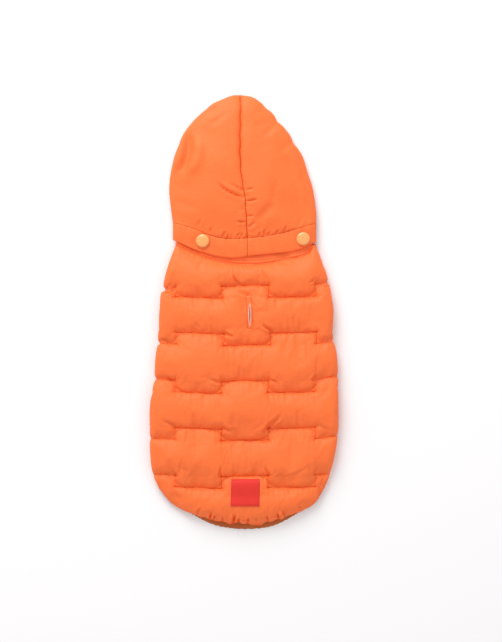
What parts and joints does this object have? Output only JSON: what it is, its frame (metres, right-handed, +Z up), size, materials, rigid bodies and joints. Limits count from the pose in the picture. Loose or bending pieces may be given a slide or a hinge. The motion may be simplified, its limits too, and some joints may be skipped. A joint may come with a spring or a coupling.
{
  "type": "dog winter coat",
  "caption": "Padded quilted dog coat with a hood held by two snaps, laid flat on its belly, back up, with leg holes, a leash slit and a gathered hem.",
  "frame": {"origin": "centre of the ground that the coat covers, on the surface it lies on", "axes": "+Z up off the surface, +Y from the tail to the hood along the back, +X to the right seen from above"},
  "size_m": [0.1983, 0.4563, 0.0214],
  "materials": {
    "shell_cloth": "bright orange matt nylon taffeta with a soft sheen",
    "hem_cloth": "dark orange gathered elastic binding",
    "snap_plastic": "pale orange moulded acetal, softly glossy",
    "label_cloth": "red woven satin patch with stitched edges",
    "slit_cloth": "pale pink binding tape"
  },
  "bodies": {
    "root": {"back_panel": "shell_cloth", "belly_panel": "shell_cloth", "collar": "shell_cloth", "hood_left": "shell_cloth", "hood_right": "shell_cloth", "hood_band_left": "shell_cloth", "hood_band_right": "shell_cloth", "leg_binding_left": "hem_cloth", "leg_binding_right": "hem_cloth", "hem_band": "hem_cloth", "snap_cap_left": "snap_plastic", "snap_cap_right": "snap_plastic", "snap_socket_left": "snap_plastic", "snap_socket_right": "snap_plastic", "leash_slit_binding": "slit_cloth", "label": "label_cloth"}
  },
  "joints": []
}
